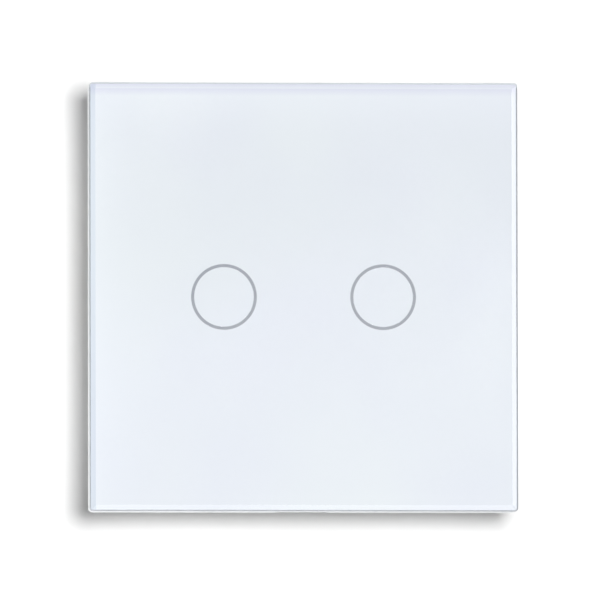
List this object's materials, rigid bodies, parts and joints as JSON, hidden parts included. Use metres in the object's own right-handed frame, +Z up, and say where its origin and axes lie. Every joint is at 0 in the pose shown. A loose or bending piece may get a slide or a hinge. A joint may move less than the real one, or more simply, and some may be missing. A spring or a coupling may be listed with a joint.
{
  "type": "touch light switch",
  "caption": "Square wall touch switch: bevelled white-backed glass with grey ring marks, clip-off frame, base with relays, supply and screw terminals.",
  "frame": {"origin": "midway between the two wall screws, in the wall's plane (the flange's rear face)", "axes": "+Z up the wall, +X to the viewer's right, -Y out of the wall towards the viewer, +Y into the wall box"},
  "size_m": [0.086, 0.0356, 0.086],
  "materials": {
    "clear_glass": "polished float glass, ground and polished front bevel",
    "white_print": "opaque cool-white print behind the glass",
    "ring_print": "grey translucent ink",
    "bonding_tape": "closed-cell foam tape",
    "frame_plastic": "white, fine spark-eroded texture",
    "base_plastic": "white, flame-retardant, fine texture",
    "touch_board_resin": "green solder resist over glass-fibre laminate",
    "power_board_resin": "green solder resist over paper laminate",
    "gilt_spring": "gold-plated spring wire",
    "gilt_pin": "gold-plated square pin",
    "guide_acrylic": "milky translucent acrylic",
    "led_phosphor": "yellow phosphor in a white case",
    "chip_resin": "black moulded epoxy, tinned leads",
    "chip_ceramic": "tan ceramic chips with tinned ends",
    "zinc_steel": "zinc-plated steel",
    "black_nylon": "black glass-filled nylon",
    "relay_case": "blue moulded case",
    "relay_base": "black moulded base",
    "bobbin_nylon": "natural nylon",
    "copper_wire": "enamelled copper wire",
    "soft_iron": "nickel-plated soft iron",
    "contact_alloy": "copper alloy strip with silver contact",
    "ferrite": "sintered ferrite",
    "brown_phenolic": "brown phenolic moulding",
    "winding_tape": "yellow polyester tape over the winding",
    "capacitor_sleeve": "dark shrink sleeve over an aluminium can",
    "film_case": "yellow filled case",
    "varistor_coat": "blue dipped epoxy",
    "fuse_case": "brown moulded case",
    "choke_sleeve": "black shrink sleeve over a drum core",
    "terminal_nylon": "green nylon",
    "tinned_brass": "tinned brass strip"
  },
  "bodies": {
    "base": {"base_plate": "base_plastic", "touch_board": "touch_board_resin", "touch_spring_left": "gilt_spring", "touch_spring_right": "gilt_spring", "light_guide_left": "guide_acrylic", "light_guide_right": "guide_acrylic", "indicator_leds": "led_phosphor", "touch_chip": "chip_resin", "touch_passives": "chip_ceramic", "touch_board_screws": "zinc_steel", "link_header": "black_nylon", "link_pins": "gilt_pin", "link_socket": "black_nylon", "power_board": "power_board_resin", "transformer_core": "ferrite", "transformer_bobbin": "brown_phenolic", "transformer_winding": "winding_tape", "bulk_capacitor": "capacitor_sleeve", "output_capacitor": "capacitor_sleeve", "film_capacitor": "film_case", "varistor": "varistor_coat", "fuse": "fuse_case", "choke": "choke_sleeve", "bridge_rectifier": "chip_resin", "power_chip": "chip_resin", "terminal_housings": "terminal_nylon", "terminal_bars": "tinned_brass", "rear_cover": "base_plastic", "cover_screws": "zinc_steel", "relay_left_cover": "relay_case", "relay_left_base": "relay_base", "relay_left_bobbin": "bobbin_nylon", "relay_left_coil": "copper_wire", "relay_left_yoke": "soft_iron", "relay_left_fixed_contact": "contact_alloy", "relay_right_cover": "relay_case", "relay_right_base": "relay_base", "relay_right_bobbin": "bobbin_nylon", "relay_right_coil": "copper_wire", "relay_right_yoke": "soft_iron", "relay_right_fixed_contact": "contact_alloy"},
    "panel": {"glass_panel": "clear_glass", "printed_film": "white_print", "ring_marks": "ring_print", "panel_tape": "bonding_tape", "panel_frame": "frame_plastic", "snap_tabs": "frame_plastic"},
    "relay_left_arm": {"relay_left_armature": "soft_iron", "relay_left_moving_contact": "contact_alloy"},
    "relay_right_arm": {"relay_right_armature": "soft_iron", "relay_right_moving_contact": "contact_alloy"},
    "screw_1": {"terminal_screw_1": "zinc_steel"},
    "cage_1": {"clamp_cage_1": "tinned_brass"},
    "screw_2": {"terminal_screw_2": "zinc_steel"},
    "cage_2": {"clamp_cage_2": "tinned_brass"},
    "screw_3": {"terminal_screw_3": "zinc_steel"},
    "cage_3": {"clamp_cage_3": "tinned_brass"},
    "screw_4": {"terminal_screw_4": "zinc_steel"},
    "cage_4": {"clamp_cage_4": "tinned_brass"}
  },
  "joints": [
    {"name": "panel_pull", "type": "slide", "parent": "base", "child": "panel", "axis": [0, -1, 0], "range_m": [0, 0.03], "deforming": ["snap_tabs"]},
    {"name": "relay_left_pull_in", "type": "hinge", "parent": "base", "child": "relay_left_arm", "pos_m": [-0.006, 0.0181, 0.00425], "axis": [1, 0, 0], "range_deg": [0, 3], "stiffness_Nm_per_rad": 0.02, "springref_deg": -5.73},
    {"name": "relay_right_pull_in", "type": "hinge", "parent": "base", "child": "relay_right_arm", "pos_m": [0.006, 0.0181, 0.00425], "axis": [1, 0, 0], "range_deg": [0, 3], "stiffness_Nm_per_rad": 0.02, "springref_deg": -5.73},
    {"name": "terminal_1_turn", "type": "hinge", "parent": "base", "child": "screw_1", "pos_m": [-0.01143, 0.0168, -0.0185], "axis": [0, -1, 0], "range_deg": [0, 2018]},
    {"name": "clamp_1_rise", "type": "slide", "parent": "base", "child": "cage_1", "axis": [0, 1, 0], "range_m": [0, 0.0028]},
    {"name": "terminal_2_turn", "type": "hinge", "parent": "base", "child": "screw_2", "pos_m": [-0.00381, 0.0168, -0.0185], "axis": [0, -1, 0], "range_deg": [0, 2018]},
    {"name": "clamp_2_rise", "type": "slide", "parent": "base", "child": "cage_2", "axis": [0, 1, 0], "range_m": [0, 0.0028]},
    {"name": "terminal_3_turn", "type": "hinge", "parent": "base", "child": "screw_3", "pos_m": [0.00381, 0.0168, -0.0185], "axis": [0, -1, 0], "range_deg": [0, 2018]},
    {"name": "clamp_3_rise", "type": "slide", "parent": "base", "child": "cage_3", "axis": [0, 1, 0], "range_m": [0, 0.0028]},
    {"name": "terminal_4_turn", "type": "hinge", "parent": "base", "child": "screw_4", "pos_m": [0.01143, 0.0168, -0.0185], "axis": [0, -1, 0], "range_deg": [0, 2018]},
    {"name": "clamp_4_rise", "type": "slide", "parent": "base", "child": "cage_4", "axis": [0, 1, 0], "range_m": [0, 0.0028]}
  ],
  "couplings": [
    {"joint": "terminal_1_turn", "follows": "clamp_1_rise", "rad_per_m": 12566},
    {"joint": "terminal_2_turn", "follows": "clamp_2_rise", "rad_per_m": 12566},
    {"joint": "terminal_3_turn", "follows": "clamp_3_rise", "rad_per_m": 12566},
    {"joint": "terminal_4_turn", "follows": "clamp_4_rise", "rad_per_m": 12566}
  ]
}
